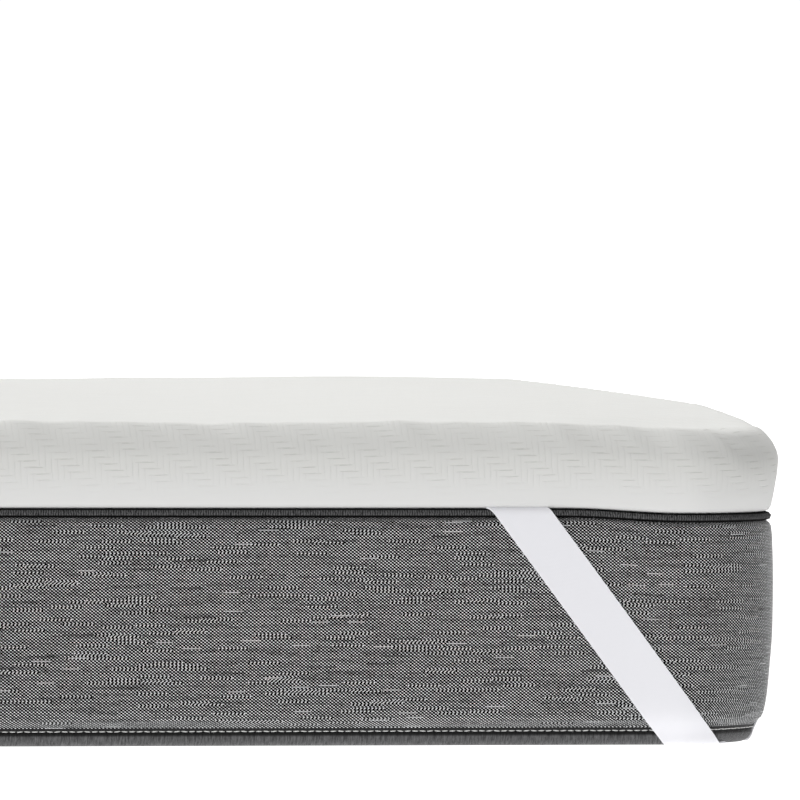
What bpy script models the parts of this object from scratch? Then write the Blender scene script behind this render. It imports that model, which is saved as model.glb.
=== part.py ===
"""A mattress topper in a knitted cover, held on a single mattress by an elastic strap at each corner.

Metres, +Z up. The origin is on the floor under the middle of the mattress, and the foot end faces -Y.
The tables of sections are in millimetres, and are turned to metres as they are read.
"""

from collections import namedtuple
from math import atan2, copysign, cos, dist, hypot, radians, sin, sqrt

import bmesh
import bpy

MM = 0.001

# Driving sizes
WIDTH = 965 * MM
LENGTH = 1905 * MM
MATTRESS_HEIGHT = 200 * MM
CORNER_RADIUS = 90 * MM
CORNER_DIP = 4.3 * MM  # how far the straps pull the mattress's top corners down
DIP_REACH = 190 * MM  # where that dip ends, in from the corner's sides
SIDE_CROWN = 3 * MM  # how much thicker the topper is halfway along its long sides than at its ends
MIDDLE_CROWN = 10.2 * MM  # and halfway along its middle line
MIDDLE_SAG = 6.4 * MM  # how much thinner it is along its middle line than beside it
SAG_REACH = 350 * MM  # where that sag ends, from the middle line
CORNER_FALL = 6.2 * MM  # how much thinner it is in its corners
FALL_REACH = 396 * MM  # where that fall starts, in from the corner's sides
FALL_END = 130 * MM  # and where it ends
GAP = 0.3 * MM  # between pieces that touch
WELD = 0.003 * MM  # points of one piece that are nearer than this are one point

# The elastic straps
STRAP_WIDTH = 40.4 * MM
STRAP_THICKNESS = 1.5 * MM
STRAP_FROM_CORNER = 225.8 * MM  # its middle, where it comes out from under the topper
END_LEAN = 0.745  # how far it runs towards the corner for each metre it runs down the mattress's end
SIDE_LEAN = 0.55  # and down its long side
STRAP_RUN_ON = (24 * MM, 58 * MM)  # how far underneath its two edges are drawn on as they lean
STRAP_BED = 0.4 * MM  # how much larger than the strap its hollow in the foam is, all round
END_HOLLOW_DEPTH = 2.3 * MM  # above the mattress's top, over the strap's sewn ends
TURN_HOLLOW_DEPTH = 2.4 * MM  # above the floor, over the strap's turn
CUT_PAST_EDGE = 6 * MM  # how far outside a piece its cutter starts
TURN_HOLLOW = (  # round the strap's turn: its points' distances in from the corner's long side and end
    (49 * MM, -CUT_PAST_EDGE),
    (117 * MM, -CUT_PAST_EDGE),
    (84 * MM, 98 * MM),
    (-CUT_PAST_EDGE, 168 * MM),
    (-CUT_PAST_EDGE, 100 * MM),
    (36 * MM, 64 * MM),
)
CORNERS = {  # the side of the plan's middle that each corner is on
    "front_right": (1, -1),
    "front_left": (-1, -1),
    "back_right": (1, 1),
    "back_left": (-1, 1),
}

# The grid over a piece's top and bottom: steps round a corner, over the dip, and across the middle
CORNER_STEPS = 4
DIP_STEPS = 2
PLAIN_MIDDLE = (1, 1)
TOPPER_MIDDLE = (8, 16)
STRAP_STEPS = 4  # across a strap

SHARP_ANGLE = 0.7  # radians; edges that turn more than this are shaded sharp
OUTLINE_ROUNDS = 5  # of the repeated step that finds where an outline is

# A side's section, from the bottom up: the height, and how far in from the widest outline it is on
# the straight sides and in the middle of a corner.
Row = namedtuple("Row", "height straight corner")

PANEL_EDGE_RADIUS = 12  # of the round of the mattress's lower edge
PANEL_EDGE = Row(PANEL_EDGE_RADIUS, 16.3, 24)  # where that round would end
PANEL_EDGE_ANGLES = (90, 66, 45, 26, 10)  # degrees round it, up to its end at 0
BOTTOM_PANEL_SECTION = (
    *(
        Row(
            PANEL_EDGE_RADIUS * (1 - sin(radians(angle))),
            PANEL_EDGE.straight + PANEL_EDGE_RADIUS * (1 - cos(radians(angle))),
            PANEL_EDGE.corner + PANEL_EDGE_RADIUS * (1 - cos(radians(angle))),
        )
        for angle in PANEL_EDGE_ANGLES
    ),
    Row(11.6, 16.9, 24.7),
    Row(12.5, 19.5, 26),
)
BORDER_SECTION = (
    Row(12.8, 19.5, 26),
    Row(14.2, 16, 24),
    Row(16.5, 14.6, 22.5),
    Row(18.5, 12.2, 20),
    Row(20.5, 9.6, 17.5),
    Row(24, 7.7, 14.5),
    Row(30, 6.2, 12),
    Row(38, 4.8, 9.8),
    Row(50, 3.5, 7.6),
    Row(66, 2.3, 5),
    Row(88, 0.7, 2.2),
    Row(120, 0, 0.4),
    Row(147, 0, 0),
    Row(168, 0.5, 1.6),
    Row(183.5, 1.4, 2.9),
    Row(189.5, 2.6, 4.1),
    Row(192.5, 6, 7.5),
)
EDGE_TAPE_SECTION = (
    Row(192.8, 6, 7.5),
    Row(193.3, 3.7, 5.2),
    Row(194.6, 2.2, 3.7),
    Row(196.5, 1.7, 3.2),
    Row(198.5, 2.5, 4),
    Row(199.6, 4.4, 6),
    Row(200, 7, 9),
)
TOPPER_SECTION = (  # its heights are above its own underside, at the rim
    Row(0, 7, 9),
    Row(1.2, 4.2, 6.4),
    Row(4, 2.4, 4.6),
    Row(10, 1, 2),
    Row(24, -1.2, -1.6),
    Row(39, -3.2, -4),
    Row(51, -3.6, -3.3),
    Row(60, -0.7, 0.3),
    Row(67, 3.4, 6.2),
    Row(72.5, 8.2, 11.6),
    Row(76, 12, 22),
    Row(77.5, 16, 36),
)
# The path of a strap's mid-surface, from its sewn end under the topper down beside the mattress.
STRAP_SECTION = (
    Row(201.15, 36, 36),
    Row(201.15, 20, 20),
    Row(201.15, 8.4, 9.8),
    Row(200.7, 4.1, 5.6),
    Row(199.4, 1.8, 3.3),
    Row(197.4, 0.6, 2.1),
    Row(195, 0.3, 1.8),
    Row(183.5, -0.2, 1.3),
    Row(168, -1.1, 0),
    Row(147, -1.6, -1.6),
    Row(120, -1.7, -1.5),
    Row(88, -1.1, 0.2),
    Row(66, 0.4, 2.9),
    Row(50, 1.6, 5.4),
    Row(38, 2.9, 7.7),
    Row(30, 4.3, 10),
    Row(24, 5.8, 12.5),
    Row(19, 8.5, 16.2),
    Row(13, 12.1, 19.8),
    Row(8, 14.8, 22.6),
    Row(4.9, 16.1, 23.9),
    Row(2.4, 18, 25.8),
    Row(1, 19.8, 27.6),
)
STRAP_EDGE_HEIGHT = 195  # millimetres; the row where STRAP_FROM_CORNER is measured
STRAP_UNDER = (0.05, 0.1, 0.17, 0.26, 0.37, 0.5)  # its stations halfway on underneath
STRAP_STATIONS = 2 * (len(STRAP_SECTION) + len(STRAP_UNDER) - 1)
STRAP_LOWEST = 1 * MM  # its mid-surface under the mattress
STRAP_STAND_OFF = 2.1 * MM  # from the round of the mattress's lower edge to the mid-surface


def clear_scene():
    for obj in list(bpy.data.objects):
        bpy.data.objects.remove(obj)


def material(name, colour, roughness):
    made = bpy.data.materials.new(name)
    made.use_nodes = True
    surface = made.node_tree.nodes["Principled BSDF"]
    surface.inputs["Base Color"].default_value = (*colour, 1)
    surface.inputs["Roughness"].default_value = roughness
    surface.inputs["Metallic"].default_value = 0
    return made


def linked_object(name, bm):
    mesh = bpy.data.meshes.new(name)
    bm.to_mesh(mesh)
    bm.free()
    made = bpy.data.objects.new(name, mesh)
    bpy.context.scene.collection.objects.link(made)
    return made


def finished_object(name, bm, look):
    made = linked_object(name, bm)
    made.data.shade_smooth()
    made.data.set_sharp_from_angle(angle=SHARP_ANGLE)
    made.data.materials.append(look)
    return made


def guide_object(name, bm):
    """A shape that only cuts others, so it isn't rendered."""
    bmesh.ops.recalc_face_normals(bm, faces=bm.faces)
    made = linked_object(name, bm)
    made.hide_render = True
    made.display_type = "WIRE"
    return made


def smooth_step(value):
    value = min(max(value, 0), 1)
    return value * value * (3 - 2 * value)


def in_corner(x, y, start, end):
    """0 to 1: how far this place on the plan is into a corner, from `start` to `end` in from its sides."""
    beside = smooth_step((WIDTH / 2 - abs(x) - start) / (end - start))
    ahead = smooth_step((LENGTH / 2 - abs(y) - start) / (end - start))
    return beside * ahead


def dip(x, y):
    """How far the straps pull the mattress's top down at this place on its plan."""
    return CORNER_DIP * in_corner(x, y, DIP_REACH, CORNER_RADIUS)


def swell(x, y):
    """How much thicker the topper is at this place on its plan than at the ends of its long sides."""
    over_width = 1 - (2 * x / WIDTH) ** 2
    over_length = 1 - (2 * y / LENGTH) ** 2
    crown = over_length * (SIDE_CROWN + (MIDDLE_CROWN - SIDE_CROWN) * over_width)
    sag = MIDDLE_SAG * (1 - smooth_step(abs(x) / SAG_REACH))
    return crown - sag - CORNER_FALL * in_corner(x, y, FALL_REACH, FALL_END)


def level(x, y, height):
    """A flat surface at this height in millimetres."""
    return height * MM


def dipped(x, y, height):
    """The surface at this height in millimetres that follows the mattress's dipped top."""
    return height * MM - dip(x, y)


def topper_under(x, y, height):
    """The surface at this height in millimetres above the topper's underside, which lies on the mattress."""
    return MATTRESS_HEIGHT + GAP + dipped(x, y, height)


def topper_top(x, y, height):
    return topper_under(x, y, height) + swell(x, y)


def grid_lines(half, middle_steps):
    """Where the grid's lines cross one direction of the plan, closest together round the corners."""
    corner = [half - CORNER_RADIUS * step / CORNER_STEPS for step in range(CORNER_STEPS)]
    over_dip = DIP_REACH - CORNER_RADIUS
    beside = [half - CORNER_RADIUS - over_dip * step / DIP_STEPS for step in range(DIP_STEPS)]
    end = half - DIP_REACH
    middle = [end - 2 * end * step / middle_steps for step in range(middle_steps + 1)]
    outer = corner + beside
    return [-place for place in outer] + middle[::-1] + outer[::-1]


def rounded(x, y, row):
    """The place (x, y) of the square-cornered plan, moved onto the round-cornered outline of a row."""
    across = max(abs(x) - WIDTH / 2 + CORNER_RADIUS, 0) / CORNER_RADIUS
    along = max(abs(y) - LENGTH / 2 + CORNER_RADIUS, 0) / CORNER_RADIUS
    out_x = across * sqrt(1 - along * along / 2)
    out_y = along * sqrt(1 - across * across / 2)
    round_corner = (2 * out_x * out_y) ** 2
    radius = CORNER_RADIUS - (row.straight + round_corner * (row.corner - row.straight)) * MM
    core_x = min(abs(x), WIDTH / 2 - CORNER_RADIUS)
    core_y = min(abs(y), LENGTH / 2 - CORNER_RADIUS)
    return copysign(core_x + radius * out_x, x), copysign(core_y + radius * out_y, y)


def plan_grid(bm, plan, lines_x, lines_y):
    """A grid of triangles whose vertices keep their places on the plan in the layer `plan`."""
    older_faces = len(bm.faces)
    steps_x, steps_y = len(lines_x) - 1, len(lines_y) - 1
    verts = bmesh.ops.create_grid(bm, x_segments=steps_x, y_segments=steps_y, size=1)["verts"]
    for vert in verts:
        column = round((vert.co.x + 1) / 2 * steps_x)
        row = round((vert.co.y + 1) / 2 * steps_y)
        vert[plan] = (lines_x[column], lines_y[row], 0)
    # Split the same way everywhere, so that two pieces that touch have the same facets.
    bmesh.ops.triangulate(bm, faces=bm.faces[older_faces:], quad_method="FIXED")
    return verts


def slab(name, section, lower, upper, middle_steps, look):
    """A closed piece between a lower and an upper surface, its side shaped by a section."""
    bm = bmesh.new()
    plan = bm.verts.layers.float_vector.new("plan")
    lines_x = grid_lines(WIDTH / 2, middle_steps[0])
    lines_y = grid_lines(LENGTH / 2, middle_steps[1])
    lowest, highest = section[0], section[-1]

    def place(verts, row):
        share = (row.height - lowest.height) / (highest.height - lowest.height)
        for vert in verts:
            x, y = vert[plan].xy
            z = (1 - share) * lower(x, y, lowest.height) + share * upper(x, y, highest.height)
            vert.co = (*rounded(x, y, row), z)

    place(plan_grid(bm, plan, lines_x, lines_y), lowest)
    top = plan_grid(bm, plan, lines_x, lines_y)
    place(top, highest)
    ring = [edge for edge in bm.edges if edge.is_boundary and edge.verts[0] in top]
    for row in section[-2::-1]:
        grown = bmesh.ops.extrude_edge_only(bm, edges=ring)["geom"]
        verts = [item for item in grown if isinstance(item, bmesh.types.BMVert)]
        place(verts, row)
        ring = [
            item
            for item in grown
            if isinstance(item, bmesh.types.BMEdge) and item.verts[0] in verts and item.verts[1] in verts
        ]
    bmesh.ops.remove_doubles(bm, verts=bm.verts, dist=WELD)
    bmesh.ops.recalc_face_normals(bm, faces=bm.faces)
    return finished_object(name, bm, look)


def inset_at(sine, row):
    """A row's inset in millimetres, by the sine of the angle round a corner that its outline faces."""
    round_corner = 4 * sine * sine * (1 - sine * sine)
    return row.straight + round_corner * (row.corner - row.straight)


def inset_along(along, row):
    """How far in from its side a row's outline is, at this distance from the corner."""
    from_centre = max(CORNER_RADIUS - along, 0)
    radius = CORNER_RADIUS - row.straight * MM
    for _ in range(OUTLINE_ROUNDS):
        radius = CORNER_RADIUS - inset_at(from_centre / radius, row) * MM
    return CORNER_RADIUS - sqrt(radius * radius - from_centre * from_centre)


def strap_travel():
    """How far down the strap's path each of its rows is from its first one, in metres."""
    travel = [0]
    for above, below in zip(STRAP_SECTION, STRAP_SECTION[1:]):
        step = dist((above.straight, above.height), (below.straight, below.height))
        travel.append(travel[-1] + step * MM)
    return travel


def face_point(index, across, lean):
    """A place on the strap beside the mattress: how far it is from the corner, how far in, and how high."""
    row = STRAP_SECTION[index]
    travel = strap_travel()
    at_edge = travel[[row.height for row in STRAP_SECTION].index(STRAP_EDGE_HEIGHT)]
    along = STRAP_FROM_CORNER + lean * (at_edge - travel[index])
    along += across * STRAP_WIDTH / 2 * hypot(1, lean)
    return along, inset_along(along, row), row.height * MM


def height_round_edge(from_x, from_y):
    """How high the strap is as it follows the round of the mattress's lower edge near a corner."""
    to_centre = hypot(max(CORNER_RADIUS - from_x, 0), max(CORNER_RADIUS - from_y, 0))
    if to_centre == 0:
        return STRAP_LOWEST
    edge_inset = inset_at(max(CORNER_RADIUS - from_x, 0) / to_centre, PANEL_EDGE) * MM
    radius = PANEL_EDGE_RADIUS * MM
    out_from_centre = edge_inset + radius - (CORNER_RADIUS - to_centre)
    reach = radius + STRAP_STAND_OFF
    if not 0 < out_from_centre < reach:
        return STRAP_LOWEST
    return max(STRAP_LOWEST, radius - sqrt(reach * reach - out_from_centre * out_from_centre))


def turned_point(share, across):
    """A place on the strap under the mattress, this share of the way from its end to its long side."""
    lowest = len(STRAP_SECTION) - 1
    end_x, end_y, _ = face_point(lowest, across, END_LEAN)
    side_y, side_x, _ = face_point(lowest, across, SIDE_LEAN)
    near, far = STRAP_RUN_ON
    run_on = near + (far - near) * (across + 1) / 2
    left = 1 - share
    weights = (left**3, 3 * left * left * share, 3 * left * share * share, share**3)
    drawn_x = (end_x, end_x - END_LEAN * run_on, side_x + run_on, side_x)
    drawn_y = (end_y, end_y + run_on, side_y - SIDE_LEAN * run_on, side_y)
    from_x = sum(weight * place for weight, place in zip(weights, drawn_x))
    from_y = sum(weight * place for weight, place in zip(weights, drawn_y))
    return from_x, from_y, height_round_edge(from_x, from_y)


def strap_point(station, across):
    """A place on a strap, as its distances in from the corner's long side and end, and its height.

    Stations run from the strap's sewn end at the mattress's end down to the underside, round the corner
    there, and up the long side. `across` runs from -1, at the edge nearer the corner, to 1.
    """
    index = min(station, STRAP_STATIONS - station)
    at_end = station == index
    if index >= len(STRAP_SECTION):
        share = STRAP_UNDER[index - len(STRAP_SECTION)]
        return turned_point(share if at_end else 1 - share, across)
    if at_end:
        return face_point(index, across, END_LEAN)
    along, inset, height = face_point(index, across, SIDE_LEAN)
    return inset, along, height


def strap_sheet(side_x, side_y):
    """The elastic strap round one corner, as a sheet along the middle of its thickness."""
    bm = bmesh.new()
    verts = bmesh.ops.create_grid(bm, x_segments=STRAP_STEPS, y_segments=STRAP_STATIONS, size=1)["verts"]
    for vert in verts:
        station = round((vert.co.y + 1) / 2 * STRAP_STATIONS)
        from_x, from_y, height = strap_point(station, vert.co.x)
        vert.co = (side_x * (WIDTH / 2 - from_x), side_y * (LENGTH / 2 - from_y), height)
    if side_x * side_y > 0:
        # Mirroring turns the faces over at the other two corners, so they are turned over here too.
        bmesh.ops.reverse_faces(bm, faces=bm.faces)
    return bm


def thickened(made, thickness):
    solid = made.modifiers.new("Thickness", "SOLIDIFY")
    solid.thickness = thickness
    solid.offset = 0


def strap_end_hollows():
    """A flat box round each sewn end of the straps, as one shape to cut from the topper's underside."""
    bm = bmesh.new()
    for side_x, side_y in CORNERS.values():
        for lean in (END_LEAN, SIDE_LEAN):
            for vert in bmesh.ops.create_cube(bm, size=2)["verts"]:
                across, inward, upward = vert.co
                end_along, end_inset, _ = face_point(0, across, lean)
                inset = end_inset + STRAP_BED if inward > 0 else -CUT_PAST_EDGE
                along = end_along + lean * (inset - end_inset) + across * STRAP_BED
                from_x, from_y = (along, inset) if lean == END_LEAN else (inset, along)
                height = MATTRESS_HEIGHT + upward * END_HOLLOW_DEPTH
                vert.co = (side_x * (WIDTH / 2 - from_x), side_y * (LENGTH / 2 - from_y), height)
    return guide_object("strap_end_hollows", bm)


def strap_turn_hollows():
    """A flat prism round the strap's turn at each corner, as one shape to cut from the underside."""
    bm = bmesh.new()
    sides = len(TURN_HOLLOW)
    for side_x, side_y in CORNERS.values():
        prism = bmesh.ops.create_cone(bm, cap_ends=True, segments=sides, radius1=1, radius2=1, depth=2)
        in_turn = sorted(prism["verts"], key=lambda vert: (vert.co.z > 0, atan2(vert.co.y, vert.co.x)))
        for vert, (from_x, from_y) in zip(in_turn, TURN_HOLLOW * 2):
            height = TURN_HOLLOW_DEPTH * vert.co.z
            vert.co = (side_x * (WIDTH / 2 - from_x), side_y * (LENGTH / 2 - from_y), height)
    return guide_object("strap_turn_hollows", bm)


def cut_from(piece, cutter):
    cut = piece.modifiers.new(f"Cut {cutter.name}", "BOOLEAN")
    cut.operation = "DIFFERENCE"
    cut.solver = "EXACT"
    cut.object = cutter


def build():
    clear_scene()
    border_look = material("Heather border", (0.150, 0.150, 0.146), 0.9)
    tape_look = material("Charcoal tape", (0.042, 0.042, 0.044), 0.85)
    panel_look = material("Grey panel", (0.120, 0.120, 0.122), 0.9)
    cover_look = material("White knitted cover", (0.74, 0.74, 0.72), 0.9)
    elastic_look = material("White elastic", (0.78, 0.78, 0.81), 0.7)

    panel = slab("mattress_bottom_panel", BOTTOM_PANEL_SECTION, level, level, PLAIN_MIDDLE, panel_look)
    slab("mattress_border", BORDER_SECTION, level, dipped, PLAIN_MIDDLE, border_look)
    slab("mattress_top_panel", EDGE_TAPE_SECTION, dipped, dipped, PLAIN_MIDDLE, tape_look)
    topper = slab("topper", TOPPER_SECTION, topper_under, topper_top, TOPPER_MIDDLE, cover_look)
    for corner, (side_x, side_y) in CORNERS.items():
        strap = finished_object(f"strap_{corner}", strap_sheet(side_x, side_y), elastic_look)
        thickened(strap, STRAP_THICKNESS)
    cut_from(topper, strap_end_hollows())
    cut_from(panel, strap_turn_hollows())


build()
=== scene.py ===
"""A mattress topper in its white knitted cover, strapped on a single mattress, on a pale floor.

Metres, +Z up. The origin is on the floor under the middle of the mattress, and the foot end faces
-Y. The tables of sections are in millimetres, and are turned to metres as they are read.
"""

from collections import namedtuple
from math import ceil, cos, dist, hypot, pi, radians, sin, sqrt

import bpy
import numpy as np
from mathutils import Matrix, Vector


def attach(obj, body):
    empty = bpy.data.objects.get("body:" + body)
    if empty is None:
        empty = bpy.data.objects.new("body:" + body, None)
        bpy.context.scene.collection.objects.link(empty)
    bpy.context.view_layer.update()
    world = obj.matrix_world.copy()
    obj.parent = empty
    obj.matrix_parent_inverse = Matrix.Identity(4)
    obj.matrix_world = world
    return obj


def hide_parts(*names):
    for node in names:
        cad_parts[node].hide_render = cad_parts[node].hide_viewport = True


MM = 0.001

# The camera, at the photograph's angle; its angles are in degrees
PICTURE_SIDE = 800  # pixels
FOCAL_PIXELS = 10663
SENSOR_WIDTH = 36  # millimetres
CAMERA_PLACE = (-1.0543, -9.806, 0.4799)
CAMERA_YAW = 7.749  # from straight along the mattress towards +X
CAMERA_PITCH = 1.209  # downwards
CAMERA_ROLL = 0.255
CAMERA_REACH = 200  # how far it sees

# The studio
Light = namedtuple("Light", "name towards strength spread")
LIGHTS = (  # their spread is in degrees
    Light("overhead_light", (0, 0.3, 1), 1.72, 60),
    Light("back_light", (0.1, 0.9, 0.45), 1.3, 60),
    Light("left_light", (-0.95, 0.1, 0.4), 1.18, 80),
    Light("front_light", (-0.9, -0.4, 0.3), 1.77, 80),
)
FLOOR_SIZE = 160
FLOOR_DROP = 0.2 * MM  # how far it is under the mattress
FLOOR_GREY = (0.1, 0.1, 0.1, 1)
FLOOR_GLOW = 1.18
WHITE = (1, 1, 1, 1)
SURROUND_STRENGTH = 0.12  # of the light from all round
BACKDROP_STRENGTH = 1.05  # of what the camera sees behind the floor

# The mattress and the topper
WIDTH = 965 * MM
LENGTH = 1905 * MM
CORNER_RADIUS = 90 * MM
MATTRESS_HEIGHT = 200 * MM
GAP = 0.3 * MM  # between pieces that touch
CORNER_DIP = 4.3 * MM  # how far the straps pull the mattress's top corners down
DIP_REACH = 190 * MM  # where that dip ends, in from the corner's sides
SIDE_CROWN = 3 * MM  # how much thicker the topper is halfway along its long sides than at its ends
MIDDLE_CROWN = 10.2 * MM  # and halfway along its middle line
MIDDLE_SAG = 6.4 * MM  # how much thinner it is along its middle line than beside it
SAG_REACH = 350 * MM  # where that sag ends, from the middle line
CORNER_FALL = 6.2 * MM  # how much thinner it is in its corners
FALL_REACH = 396 * MM  # where that fall starts, in from the corner's sides
FALL_END = 130 * MM  # and where it ends

# A side's section, from the bottom up: the height, and how far in from the widest outline it is on
# the straight sides and in the middle of a corner.
Row = namedtuple("Row", "height straight corner")
PANEL_EDGE_RADIUS = 12  # of the round of the mattress's lower edge
PANEL_EDGE = Row(PANEL_EDGE_RADIUS, 16.3, 24)  # where that round would end
PANEL_EDGE_ANGLES = (90, 78, 66, 55, 45, 35, 26, 18, 10)  # degrees round it, up to its end at 0
BOTTOM_PANEL_SECTION = (
    *(
        Row(
            PANEL_EDGE_RADIUS * (1 - sin(radians(angle))),
            PANEL_EDGE.straight + PANEL_EDGE_RADIUS * (1 - cos(radians(angle))),
            PANEL_EDGE.corner + PANEL_EDGE_RADIUS * (1 - cos(radians(angle))),
        )
        for angle in PANEL_EDGE_ANGLES
    ),
    Row(11.6, 16.9, 24.7),
    Row(12.5, 19.5, 26),
)
BORDER_SECTION = (
    Row(12.8, 19.5, 26),
    Row(14.2, 16, 24),
    Row(16.5, 14.6, 22.5),
    Row(18.5, 12.2, 20),
    Row(20.5, 9.6, 17.5),
    Row(24, 7.7, 14.5),
    Row(30, 6.2, 12),
    Row(38, 4.8, 9.8),
    Row(50, 3.5, 7.6),
    Row(66, 2.3, 5),
    Row(88, 0.7, 2.2),
    Row(120, 0, 0.4),
    Row(147, 0, 0),
    Row(168, 0.5, 1.6),
    Row(183.5, 1.4, 2.9),
    Row(189.5, 2.6, 4.1),
    Row(192.5, 6, 7.5),
)
EDGE_TAPE_SECTION = (
    Row(192.8, 6, 7.5),
    Row(193.3, 3.7, 5.2),
    Row(194.6, 2.2, 3.7),
    Row(196.5, 1.7, 3.2),
    Row(198.5, 2.5, 4),
    Row(199.6, 4.4, 6),
    Row(200, 7, 9),
)
TOPPER_SECTION = (  # its heights are above its own underside, at the rim
    Row(0, 7, 9),
    Row(1.2, 4.2, 6.4),
    Row(4, 2.4, 4.6),
    Row(10, 1, 2),
    Row(24, -1.2, -1.6),
    Row(39, -3.2, -4),
    Row(51, -3.6, -3.3),
    Row(60, -0.7, 0.3),
    Row(67, 3.4, 6.2),
    Row(72.5, 8.2, 11.6),
    Row(76, 12, 22),
    Row(77.5, 16, 36),
)
COLUMN_STEP = 6 * MM  # round the mattress, between the columns of a piece's grid
WALL_STEP = 3.5 * MM  # up a piece's side, between its rows
TOP_STEP = 8 * MM  # from the topper's rim to its middle
HIDDEN_CAP = (  # how far in the rows of a hidden face are from its edge
    30 * MM,
    60 * MM,
    90 * MM,
    140 * MM,
    190 * MM,
    WIDTH / 2,
)
WELD = 0.02 * MM  # points of one piece that are nearer than this are one point

# The elastic straps
STRAP_WIDTH = 40.4 * MM
STRAP_THICKNESS = 1.5 * MM
STRAP_FROM_CORNER = 225.8 * MM  # its middle, where it comes out from under the topper
END_LEAN = 0.745  # how far it runs towards the corner for each metre it runs down the end
SIDE_LEAN = 0.55  # and down the long side
STRAP_RUN_ON = (24 * MM, 58 * MM)  # how far underneath its two edges are drawn on as they lean
STRAP_SECTION = (
    Row(201.15, 36, 36),
    Row(201.15, 20, 20),
    Row(201.15, 8.4, 9.8),
    Row(200.7, 4.1, 5.6),
    Row(199.4, 1.8, 3.3),
    Row(197.4, 0.6, 2.1),
    Row(195, 0.3, 1.8),
    Row(183.5, -0.2, 1.3),
    Row(168, -1.1, 0),
    Row(147, -1.6, -1.6),
    Row(120, -1.7, -1.5),
    Row(88, -1.1, 0.2),
    Row(66, 0.4, 2.9),
    Row(50, 1.6, 5.4),
    Row(38, 2.9, 7.7),
    Row(30, 4.3, 10),
    Row(24, 5.8, 12.5),
    Row(19, 8.5, 16.2),
    Row(13, 12.1, 19.8),
    Row(8, 14.8, 22.6),
    Row(4.9, 16.1, 23.9),
    Row(2.4, 18, 25.8),
    Row(1, 19.8, 27.6),
)
STRAP_EDGE_HEIGHT = 195  # of the row where it comes out from under the topper
STRAP_UNDER = (0.05, 0.1, 0.17, 0.26, 0.37, 0.5)  # its stations underneath, to halfway
STRAP_STATIONS = 2 * (len(STRAP_SECTION) + len(STRAP_UNDER) - 1)
STRAP_LOWEST = 1 * MM  # its middle, above the floor
STRAP_STAND_OFF = 2.1 * MM  # and from the round of the mattress's lower edge
STRAP_STEPS = 8  # across it
STRAP_SHARP_ANGLE = 50  # degrees; edges that turn more than this are shaded sharp
OUTLINE_ROUNDS = 5  # of the repeated step that finds where an outline is
CORNERS = {  # the side of the plan's middle that each corner is on
    "front_right": (1, -1),
    "front_left": (-1, -1),
    "back_right": (1, 1),
    "back_left": (-1, 1),
}

# The white stitches round the lower seam
STITCH_PITCH = 6.3 * MM
STITCH_LENGTH = 5.5 * MM
STITCH_RADIUS = 0.52 * MM
STITCH_HEIGHT = 12.8 * MM
STITCH_SEAM = Row(STITCH_HEIGHT, 16.5, 24.4)
STITCH_LEAN = 0.5 * STITCH_RADIUS  # how much higher one end of a stitch may be than its middle
STITCH_LEAN_STEP = 2.4  # radians of a wave, from one stitch to the next

# The knitted cover. Pairs of heights are where a change up or down the side starts and is complete.
BRICK_WIDTH = 5.2 * MM  # of the knit's raised bricks
BRICK_COURSE = 1.08 * BRICK_WIDTH  # the height of a course of level ones
BRICK_LENGTH = 3.0  # in widths
BRICK_REPEAT = 6.0  # in widths: a level brick, and three upright ones beside it
BRICK_TILT = 3  # degrees, of the courses
COVER_RELIEF = (6 * MM, 34 * MM)  # the knit is pulled flat near the cover's lower seam
COVER_LOW_PAINTED_LIGHT = (44 * MM, 12 * MM)  # where the painted light starts and is complete: the side is painted paler towards the bottom, as if lit from the floor below
# where the cover's lowest edge, which faces down into shade, is painted white as painted light
COVER_EDGE_PAINTED_LIGHT = (7 * MM, 3 * MM)
COVER_WHITE = (0.70, 0.70, 0.68)
# Painted shade in the knit's grooves
COVER_GROOVE_SHADE = (0.255, 0.255, 0.23)
# Painted light, paler low on the side
COVER_LOW_PAINTED_WHITE = (0.74, 0.74, 0.73)
# Painted light on the cover's lowest edge
COVER_EDGE_PAINTED_WHITE = (0.825, 0.825, 0.815)
COVER_RELIEF_DEPTH = 0.3 * MM

# The heather border
YARN_PITCH = 3.22 * MM  # between the white yarns of one course
YARN_COURSE = 1.305 * MM  # the height of a course
YARN_RUN = 27 * MM  # how far along a course the yarns lie one way
FLOAT_SHARE = 0.09  # of the runs that lie the other way, and are brighter
DULL_SHARE = 0.05  # of the runs that are duller
SLUB_LENGTH = 15 * MM
SLUB_SHARE = 0.01  # of those lengths that hold a thicker white thread
CHARCOAL_SEAM_SHADE_COURSES = (5.6 * MM, 4.8 * MM)  # the lowest courses, beside the seam, are charcoal, and are painted near black as painted shade where the border turns into the seam
YARN_WHITE = (0.955, 0.97, 0.98)
YARN_BLACK = (0.001, 0.001, 0.001)
CHARCOAL_SEAM_SHADE_DARK = (0.003, 0.003, 0.003)
CHARCOAL_SEAM_SHADE_LIGHT = (0.015, 0.015, 0.016)
YARN_DEPTH = 0.05 * MM

# The charcoal tape
TAPE_RIB = 2.1 * MM
# Painted shade: black bands where the tape meets the border below and the topper above
TAPE_LOWER_GAP_SHADE = (4.4 * MM, 3.6 * MM)
TAPE_UPPER_GAP_SHADE = (8.8 * MM, 9.4 * MM)
TAPE_DARK = (0.009, 0.009, 0.009)
TAPE_LIGHT = (0.14, 0.14, 0.143)
TAPE_GAP_SHADE_BLACK = (0.002, 0.002, 0.002)

# The grey panel
PANEL_TURNED_IN = (14.4 * MM, 17 * MM)  # where it turns into the seam, and is in shade
PANEL_DARK = (0.03, 0.03, 0.031)
PANEL_LIGHT = (0.17, 0.17, 0.173)
PANEL_SEAM_SHADE = (0.008, 0.008, 0.008)
KNIT_DEPTH = 0.2 * MM  # of the relief of tape and panel

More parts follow.
